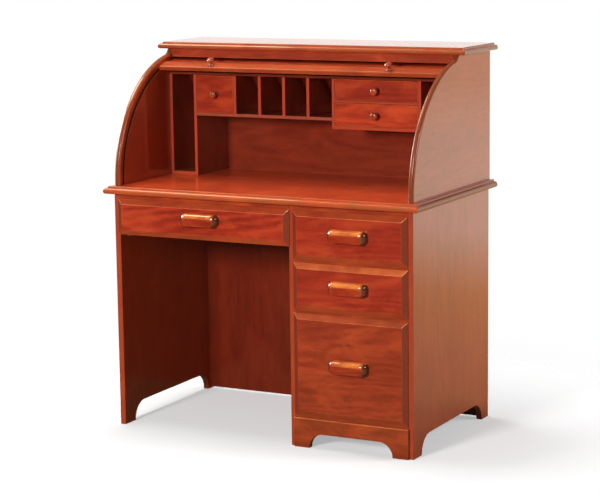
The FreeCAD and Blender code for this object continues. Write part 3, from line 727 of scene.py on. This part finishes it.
def addPull(node):
    x0, x1, y0, y1, z0, z1 = span(node)
    s = pullBlock
    piece = addBoard(node, x0, x1, y1 - s["waist"], y1, z0, z1)
    roundEdges(piece, lambda a, b: runsAlong(a, b, 1), s["corner"], s["cornerSteps"])
    enterEdit(piece)
    pickFront(piece)
    wide, tall, drop, deep = x1 - x0 - s["waistLess"], z1 - z0, 0.0, s["waist"]
    middle = at((x0 + x1) / 2, y1, (z0 + z1) / 2)
    bpy.ops.transform.resize(value=(wide / (x1 - x0), 1, 1), center_override=middle)
    full = (wide, tall)
    for step in range(1, s["steps"] + 1):
        turn = math.pi / 2 * step / s["steps"]
        draw = 1 - math.cos(turn)
        newDeep = s["waist"] + (y1 - y0 - s["waist"]) * math.sin(turn)
        newDrop = s["noseDrop"] * draw
        newWide = full[0] - (full[0] - s["noseWide"]) * draw
        newTall = full[1] - (full[1] - s["noseTall"]) * draw
        extrude((0, (deep - newDeep) / 1000, (drop - newDrop) / 1000))
        bpy.ops.transform.resize(value=(newWide / wide, 1, newTall / tall),
                                 center_override=middle - Vector((0, newDeep, newDrop)) / 1000)
        wide, tall, drop, deep = newWide, newTall, newDrop, newDeep
    leaveEdit()
    easeArrises(piece, pullWood, *s["ease"])
    least, most = s["paintedLight"]
    turned = [f.normal for f in piece.data.polygons]
    paintedLight = [min(1.0, max(0.0, (n.z - least) / (most - least))) for n in turned]
    paintedLight = [rub * max(0.0, 1 - abs(n.x) / s["paintedLightEnd"]) for rub, n in zip(paintedLight, turned)]
    return setMarks(piece, "arris", paintedLight)  # painted light: the upper side is painted paler where it stands lit, fading towards the ends


for name in frontWoods:
    place(addDrawerFront(name), name + "_drawer_front")
    place(addDrawerBox(name + "_drawer_box", drawerBox), name + "_drawer_box")
    place(addPull(name + "_drawer_pull"), name + "_drawer_pull")
print("lower drawers done")

# hood

hoodCurve = {"front": 2, "low": 760, "high": 1163, "rear": 583, "centre": (390, 765), "radius": 388,
             "sweep": 78.5, "sweepSteps": 44, "flick": 30, "flickSweep": 55.75, "flickSteps": 8,
             "flickSlack": 2e-4, "faces": (489, 508), "edgeRound": 8, "edgeSteps": 7, "ease": (0.5, 1, 40),
             "inside": 0.55, "edgeStain": ((0.6, 1.0), (0.9, 0.4))}
track = {"radius": 364, "half": 5, "deep": 7, "proud": 1, "from": -3, "turn": 82, "arcSteps": 48,
         "bendSteps": 24, "bend": (364.466, 946.681), "bendRadius": 180.534, "back": 545, "end": 770}


def polar(centre, radius, degrees):
    turn = math.radians(degrees)
    return centre[0] - radius * math.cos(turn), centre[1] + radius * math.sin(turn)


def addGrooveCutter(x0, x1):
    s, centre = track, hoodCurve["centre"]
    start = polar(centre, s["radius"] - s["half"], s["from"])
    sweep, over = s["turn"] - s["from"], 180 - s["turn"]
    nearY, farY = s["back"] - s["half"], s["back"] + s["half"]
    return drawBoard("grooveCutter", "side", start, [
        (centre, -sweep, s["arcSteps"]), (s["bend"], -over, s["bendSteps"]), (nearY, s["end"]),
        (farY, s["end"]), (farY, s["bend"][1]), (s["bend"], over, s["bendSteps"]),
        (centre, sweep, s["arcSteps"])], x0, x1)


# side is -1 for the left one and 1 for the right one
def addHoodSide(node, side):
    s = hoodCurve
    front, low, high, rear = s["front"], s["low"], s["high"], s["rear"]
    inside, outside = (side * face for face in s["faces"])
    flickCentre = polar(s["centre"], s["radius"] + s["flick"], s["sweep"])
    piece = drawBoard(node, "side", (front, low), [
        (front, s["centre"][1]), (s["centre"], -s["sweep"], s["sweepSteps"]),
        (flickCentre, s["flickSweep"], s["flickSteps"]), (rear, high), (rear, low)], inside, outside)
    lowZ, highZ, rearY = at(0, 0, low).z, at(0, 0, high).z, at(0, rear, 0).y

    def onCurve(a, b):
        atLow = near(a.z, lowZ) and near(b.z, lowZ)
        atHigh = near(a.z, highZ, s["flickSlack"]) and near(b.z, highZ, s["flickSlack"])
        atRear = near(a.y, rearY) and near(b.y, rearY)
        return near(a.x, b.x) and not (atLow or atHigh or atRear)

    # the whole curved edge is stained dark
    def edgeStain(turn):
        return next((stain for limit, stain in s["edgeStain"] if turn < limit), 0.0)

    roundEdges(piece, onCurve, s["edgeRound"], s["edgeSteps"])
    cutter = addGrooveCutter(inside - side * track["proud"], inside + side * track["deep"])
    combine(piece, cutter, "DIFFERENCE")
    easeArrises(piece, hoodWood, *s["ease"])
    edges = [edgeStain(abs(f.normal.x)) for f in piece.data.polygons]
    setMarks(piece, "endGrainAndShade", edges)
    setMarks(piece, "arris", [0.0] * len(edges))
    return paintShadeInside(piece, -side, s["inside"])


for node, side in (("hood_side_left", -1), ("hood_side_right", 1)):
    place(addHoodSide(node, side), node)

# lift rail: a short piece of ring with a tongue at each end
liftRail = {"inner": 360, "outer": 373.5, "tongueOuter": 368.6, "from": 68.3, "to": 75.6, "arcSteps": 6,
            "half": 488.5, "tongue": 495, "round": 5, "roundSteps": 5, "slack": 1e-4, "ease": (0.6, 2, 40),
            "tongueEase": 0.4, "shadowFrom": 74.2}


def addRing(inner, outer, x0, x1):
    s, centre = liftRail, hoodCurve["centre"]
    start, sweep = polar(centre, inner, s["from"]), s["to"] - s["from"]
    return drawBoard("ring", "side", start, [
        (centre, -sweep, s["arcSteps"]), polar(centre, outer, s["to"]),
        (centre, sweep, s["arcSteps"])], x0, x1)


def outerPoint(degrees):
    return at(0, *polar(hoodCurve["centre"], liftRail["outer"], degrees))


def addLiftRail():
    s = liftRail
    bar = addRing(s["inner"], s["outer"], -s["half"], s["half"])
    noses = [outerPoint(s["from"]), outerPoint(s["to"])]
    roundEdges(bar, lambda a, b: runsAlong(a, b, 0) and any(
        math.hypot(a.y - n.y, a.z - n.z) < s["slack"] for n in noses), s["round"], s["roundSteps"])
    parts = [easeArrises(bar, liftWood, *s["ease"])]
    shadowY = outerPoint(s["shadowFrom"]).y
    for mark, face in zip(bar.data.attributes["endGrainAndShade"].data, bar.data.polygons):
        if face.center.y > shadowY:
            mark.value = 1.0  # painted shadow: the rear strip is stained near black where the shadow gap under the header falls
    for ends in ((-s["tongue"], -s["half"]), (s["half"], s["tongue"])):
        parts.append(easeArrises(addRing(s["inner"], s["tongueOuter"], *ends), liftWood, s["tongueEase"]))
    return joinBoards("liftRail", parts)


place(addLiftRail(), "lift_rail")

# curtain slats: one is shaped flat and copied along the track
slat = {"half": 488.6, "wide": 29, "thick": 9, "shoulder": 1, "bevel": 2, "bevelTall": 2.5, "count": 16,
        "pitch": 31.0, "crownSteps": 8, "ease": (0.4, 2, 25)}


def trackPoint(run):
    centre, radius, turn = hoodCurve["centre"], track["radius"], math.radians(track["turn"])
    arcRun, bendRun = radius * turn, track["bendRadius"] * (math.pi - turn)
    if run <= arcRun:
        return polar(centre, radius, math.degrees(run / radius)), run / radius
    if run <= arcRun + bendRun:
        angle = turn + (run - arcRun) / track["bendRadius"]
        return polar(track["bend"], track["bendRadius"], math.degrees(angle)), angle
    return (track["back"], track["bend"][1] - (run - arcRun - bendRun)), math.pi


def addSlatPattern():
    s = slat
    half, deep = s["wide"] / 2, s["thick"] / 2
    rise = deep - s["shoulder"]
    crown = (half * half + rise * rise) / (2 * rise)
    sweep = 2 * math.degrees(math.asin(half / crown))
    lower = -deep + s["bevelTall"]  # drawn with its crowned face up, about the desk's zero
    piece = drawBoard("slatPattern", "side", (-half + s["bevel"], -deep), [
        (half - s["bevel"], -deep), (half, lower), (half, s["shoulder"]),
        ((0, deep - crown), sweep, s["crownSteps"]), (-half, lower)], -s["half"], s["half"])
    return easeArrises(piece, slatWood, *s["ease"])


def copyPiece(source, name):
    makeActive(source)
    bpy.ops.object.duplicate(linked=False)
    piece = bpy.context.active_object
    piece.name = name
    return piece


slatPattern = addSlatPattern()
firstRun = track["radius"] * math.radians(liftRail["to"]) + slat["pitch"] / 2
toOrigin = Matrix.Translation(-at(0, 0, 0))
for number in range(slat["count"]):
    node = "slat_%02d" % (number + 1)
    spot, angle = trackPoint(firstRun + number * slat["pitch"])
    piece = copyPiece(slatPattern, node)
    turn = Matrix.Rotation(math.pi / 2 - angle, 4, "X")
    piece.matrix_world = Matrix.Translation(at(0, *spot)) @ turn @ toOrigin
    settle(piece)
    place(piece, node)
bpy.data.objects.remove(slatPattern)
print("hood and curtain done")

# turned knobs: one is drawn up ring by ring and copied

knob = {"sides": 36, "smooth": 60, "sunk": 0.2,
        "profile": ((7.7, 0), (7.4, 1.1), (6.5, 2.6), (6.0, 4.5), (5.9, 6.5), (6.4, 8.4), (7.7, 10.2),
                    (9.6, 11.8), (11.1, 13.4), (11.9, 15.3), (11.95, 17.1), (11.5, 18.8), (10.4, 20.4),
                    (8.6, 21.8), (6.2, 22.8), (3.1, 23.4))}  # radius and height


def addKnobPattern():
    clearSelection()
    radius = knob["profile"][0][0]
    bpy.ops.mesh.primitive_circle_add(vertices=knob["sides"], radius=radius / 1000, fill_type="NGON")
    piece = bpy.context.active_object
    enterEdit(piece)
    selectAll()
    for (r0, h0), (r1, h1) in zip(knob["profile"], knob["profile"][1:]):
        extrude((0, 0, (h1 - h0) / 1000))
        bpy.ops.transform.resize(value=(r1 / r0, r1 / r0, 1), center_override=(0, 0, h1 / 1000))
    selectAll()
    bpy.ops.mesh.normals_make_consistent(inside=False)
    leaveEdit()
    piece.data.materials.append(knobWood)
    bpy.ops.object.shade_smooth_by_angle(angle=math.radians(knob["smooth"]))
    return piece


def setKnob(pattern, seat, axis):
    piece = copyPiece(pattern, "knob")
    turn = Vector((0, 0, 1)).rotation_difference(axis)
    piece.matrix_world = Matrix.Translation(seat) @ turn.to_matrix().to_4x4()
    settle(piece)
    return piece


knobPattern = addKnobPattern()
liftKnob = {"x": 308, "angle": 71.6}
turn = math.radians(liftKnob["angle"])
liftSeat = polar(hoodCurve["centre"], liftRail["outer"] - knob["sunk"], liftKnob["angle"])
liftAxis = Vector((0, -math.cos(turn), math.sin(turn)))
knobs = [setKnob(knobPattern, at(side * liftKnob["x"], *liftSeat), liftAxis) for side in (-1, 1)]
place(joinBoards("liftKnobs", knobs), "lift_rail_knobs")

# pigeonhole unit

unit = {"front": 315, "back": 514, "bendZ": 975.2, "topRear": 403.95, "topZ": 1083, "thick": 10,
        "tall": ((-489, 760), (-400, 760), (384, 760), (479, 760)),
        "short": ((-255, 963), (-166, 963), (-80, 963), (5, 963), (93, 938)), "ease": 0.8,
        "half": 489, "low": 760, "sheet": 6, "sheetLean": (4.2, 4.28), "sheetEase": 0.4}


def addUpright(x0, low):
    s = unit
    piece = drawBoard("upright", "side", (s["front"], low), [
        (s["back"], low), (s["back"], s["bendZ"]), (s["topRear"], s["topZ"]), (s["front"], s["topZ"])],
        x0, x0 + s["thick"])
    return markFronts(easeArrises(piece, uprightWood, s["ease"]))


place(joinBoards("tall", [addUpright(*u) for u in unit["tall"]]), "tall_partitions")
place(joinBoards("short", [addUpright(*u) for u in unit["short"]]), "pigeonhole_dividers")

unitBoards = {
    "drawer_bank_boards": ((93, 384, 315, 514, 928, 938), (103, 384, 315, 472.4, 1010, 1016)),
    "slot_floors": ((-479, -400, 315, 514, 760, 771), (394, 479, 315, 514, 760, 771))}
for node, boards in unitBoards.items():
    made = [easeArrises(addBoard("unitBoard", *board), shelfWood, unit["ease"]) for board in boards]
    place(joinBoards(node, [markFronts(board) for board in made]), node)


# the back: an upright sheet, and above it one that slopes forward
def addUnitBack():
    s = unit
    bend, top, (leanY, leanZ) = (s["back"], s["bendZ"]), (s["topRear"], s["topZ"]), s["sheetLean"]
    upright = addBoard("sheet", -s["half"], s["half"], bend[0], bend[0] + s["sheet"], s["low"], bend[1])
    sloped = drawBoard("slopedSheet", "side", bend, [
        (bend[0] + leanY, bend[1] + leanZ), (top[0] + leanY, top[1] + leanZ), top], -s["half"], s["half"])
    sheets = [easeArrises(sheet, unitBackWood, s["sheetEase"]) for sheet in (upright, sloped)]
    return joinBoards("unitBack", sheets)


place(addUnitBack(), "pigeonhole_back")

smallFrontEase = (1.2, 3)
smallBox = {"side": 7, "rear": 7, "sheet": 4, "sheetUp": 0, "ease": 0.6}
for name in smallFronts:
    x0, x1, y0, y1, z0, z1 = span(name + "_front")
    front = addBoard(name, x0, x1, y0, y1, z0, z1)
    place(easeArrises(front, smallFrontWoods[name], *smallFrontEase), name + "_front")
    place(addDrawerBox(name + "_box", smallBox), name + "_box")
    seat = at((x0 + x1) / 2, y0 + knob["sunk"], (z0 + z1) / 2)
    place(setKnob(knobPattern, seat, Vector((0, -1, 0))), name + "_knob")
bpy.data.objects.remove(knobPattern)
print("pigeonholes done")

# floor, light and camera

stage = {"floorSize": 40.0, "floorGrid": 8, "floorDrop": 0.0005, "floorColour": (0.9, 0.9, 0.9, 1),
         "bounceColour": (0.3, 0.25, 0.21, 1), "fade": (0.7, 1.5, 0.4, 1), "mirrorEnd": 14.0,
         "mirror": ((-2.5, (0.01, 0.008, 0.006)), (-0.55, (0.24, 0.125, 0.035)),
                    (-0.25, (0.08, 0.045, 0.02)), (0.3, (0.08, 0.045, 0.02)), (0.5, (0.4, 0.24, 0.09)),
                    (1.0, (0.5, 0.3, 0.1)), (2.2, (0.66, 0.43, 0.18)), (3.8, (0.97, 1.0, 0.8)),
                    (7.5, (0.95, 0.94, 0.72)), (12.0, (0.85, 0.66, 0.4))),
         "mirrorRight": (0.45, 0.9), "rightMirror": (0.35, 0.27, 0.17, 1)}


# pale floor: matte for the eye; for the lacquer it glows with a painted reflection ramp by depth, dim near
# the desk and warmer and paler further out
def addFloor():
    clearSelection()
    bpy.ops.mesh.primitive_grid_add(x_subdivisions=stage["floorGrid"], y_subdivisions=stage["floorGrid"],
                                    size=stage["floorSize"], location=(0, 0, -stage["floorDrop"]))
    floor = bpy.context.active_object
    floor.name = "studioFloor"
    settle(floor)
    paint = bpy.data.materials.new("floorPaint")
    tree = blankTree(paint)
    spot = addNode(tree, "ShaderNodeTexCoord").outputs["Object"]
    reach = addNode(tree, "ShaderNodeVectorMath", {"operation": "LENGTH"}, **{"0": spot}).outputs["Value"]
    ray = addNode(tree, "ShaderNodeLightPath")
    fade = sums(tree, "MULTIPLY", remap(tree, reach, *stage["fade"]), ray.outputs["Is Camera Ray"])
    axes = addNode(tree, "ShaderNodeSeparateXYZ", Vector=spot).outputs
    first, last = stage["mirror"][0][0], stage["mirrorEnd"]
    depth = addNode(tree, "ShaderNodeValToRGB", Fac=remap(tree, axes["Y"], first, last, 0, 1))
    stops = depth.color_ramp.elements
    for number, (y, colour) in enumerate(stage["mirror"]):
        stop = stops[number] if number < 2 else stops.new(1.0)
        stop.position = (y - first) / (last - first)
        stop.color = colour + (1,)
    right = remap(tree, axes["X"], *stage["mirrorRight"], 0, 1)
    mirrored = mixColour(tree, "LIGHTEN", right, depth.outputs["Color"], stage["rightMirror"])
    # painted reflection: glossy rays see this glow instead of the floor's lit colour
    shade = addNode(tree, "ShaderNodeEmission", Color=mirrored, Strength=1.0)
    bounce = ray.outputs["Is Diffuse Ray"]
    tone = mixColour(tree, "MIX", bounce, stage["floorColour"], stage["bounceColour"])
    matte = addNode(tree, "ShaderNodeBsdfDiffuse", Color=tone)
    clear = addNode(tree, "ShaderNodeBsdfTransparent")
    both = addNode(tree, "ShaderNodeMixShader", **{"0": fade, "1": matte.outputs[0], "2": clear.outputs[0]})
    seen = addNode(tree, "ShaderNodeMixShader", **{"0": ray.outputs["Is Glossy Ray"], "1": both.outputs[0],
                                                   "2": shade.outputs[0]})
    tree.links.new(seen.outputs[0], addNode(tree, "ShaderNodeOutputMaterial").inputs[0])
    floor.data.materials.append(paint)


studio = {"fill": 0.08, "backLevel": 1.0, "frontLevel": 0.02, "turn": (0.2, 0.7), "rise": (0.22, 0.5),
          "highLevel": 0.05, "tint": (1.0, 0.99, 0.95)}


# white for the eye, a low even fill, and for the lacquer a white wall low down behind the desk
def addWorld():
    world = bpy.data.worlds.new("studioAir")
    bpy.context.scene.world = world
    tree = blankTree(world)
    ray = addNode(tree, "ShaderNodeLightPath")
    way = addNode(tree, "ShaderNodeTexCoord").outputs["Generated"]
    axes = addNode(tree, "ShaderNodeSeparateXYZ", Vector=way).outputs
    wall = remap(tree, axes["Y"], *studio["turn"], studio["frontLevel"], studio["backLevel"])
    high = remap(tree, axes["Z"], *studio["rise"], 1, studio["highLevel"])
    mirror = sums(tree, "SUBTRACT", sums(tree, "MULTIPLY", wall, high), studio["fill"])
    glossy = ray.outputs["Is Glossy Ray"]
    level = sums(tree, "MULTIPLY_ADD", glossy, mirror, studio["fill"])
    seen = sums(tree, "MAXIMUM", ray.outputs["Is Camera Ray"], ray.outputs["Is Transmission Ray"])
    level = sums(tree, "MAXIMUM", level, seen)
    tint = mixColour(tree, "MIX", glossy, (1, 1, 1, 1), studio["tint"] + (1,))
    glow = addNode(tree, "ShaderNodeBackground", Color=tint, Strength=level)
    tree.links.new(glow.outputs[0], addNode(tree, "ShaderNodeOutputWorld").inputs[0])


# boxes light the wood but are not mirrored in it; cards are only mirrored
white, amber = (1.0, 1.0, 1.0), (1.0, 0.86, 0.62)
lamps = {  # place, aim, size, watts, colour
    "keyBox": ((-0.45, -4.6, 1.8), (0, -0.2, 0.6), (0.9, 0.7), 240, white),
    "roofBox": ((-0.6, 0.15, 3.2), (0, 0.0, 0.7), (1.8, 1.1), 104, white),
    "sideFill": ((3.2, 1.0, 1.5), (0.5, 0, 0.6), (1.2, 1.6), 62, white),
    "topCard": ((-1.7, -0.2, 3.0), (0, -0.2, 0.6), (1.1, 1.2), 34, amber),
    "leftCard": ((-3.2, 0.25, 1.65), (0, 0.25, 1.2), (1.9, 0.7), 44, white),
    "pullCard": ((-3.2, -0.9, 2.0), (0, -0.2, 0.8), (1.0, 1.5), 50, white),
    "rightCard": ((3.2, -0.8, 2.1), (0.4, 0, 0.8), (0.9, 0.9), 15, white),
    "frontCard": ((0.3, -3.3, 2.1), (0, 0, 0.9), (1.0, 0.9), 31, amber)}


def addLamps():
    for name, (spot, aim, size, watts, colour) in lamps.items():
        clearSelection()
        bpy.ops.object.light_add(type="AREA", location=spot)
        lamp = bpy.context.active_object
        lamp.name = name
        lamp.data.shape = "RECTANGLE"
        lamp.data.size, lamp.data.size_y = size
        lamp.data.energy = watts
        lamp.data.color = colour
        lamp.visible_glossy = name.endswith("Card")
        lamp.visible_diffuse = not lamp.visible_glossy
        lamp.rotation_euler = (Vector(aim) - Vector(spot)).to_track_quat("-Z", "Y").to_euler()


viewpoint = {"azimuth": 27.62, "elevation": 9.63, "roll": -0.75, "lens": 119.88, "sensor": 36, "far": 100,
             "place": (2851, -5180, 1593)}


def addCamera():
    az, el, roll = (math.radians(viewpoint[k]) for k in ("azimuth", "elevation", "roll"))
    back = Vector((math.sin(az) * math.cos(el), -math.cos(az) * math.cos(el), math.sin(el)))
    right = Vector((math.cos(az), math.sin(az), 0))
    up = back.cross(right)
    right, up = right * math.cos(roll) + up * math.sin(roll), up * math.cos(roll) - right * math.sin(roll)
    clearSelection()
    bpy.ops.object.camera_add(location=at(*viewpoint["place"]))
    camera = bpy.context.active_object
    camera.name = "photoCamera"
    camera.rotation_euler = Matrix((right, up, back)).transposed().to_euler()
    camera.data.sensor_width = viewpoint["sensor"]
    camera.data.lens = viewpoint["lens"]
    camera.data.clip_end = viewpoint["far"]
    bpy.context.scene.camera = camera


addFloor()
addWorld()
addLamps()
addCamera()
bpy.context.scene.view_settings.view_transform = "Standard"
print("stage done")
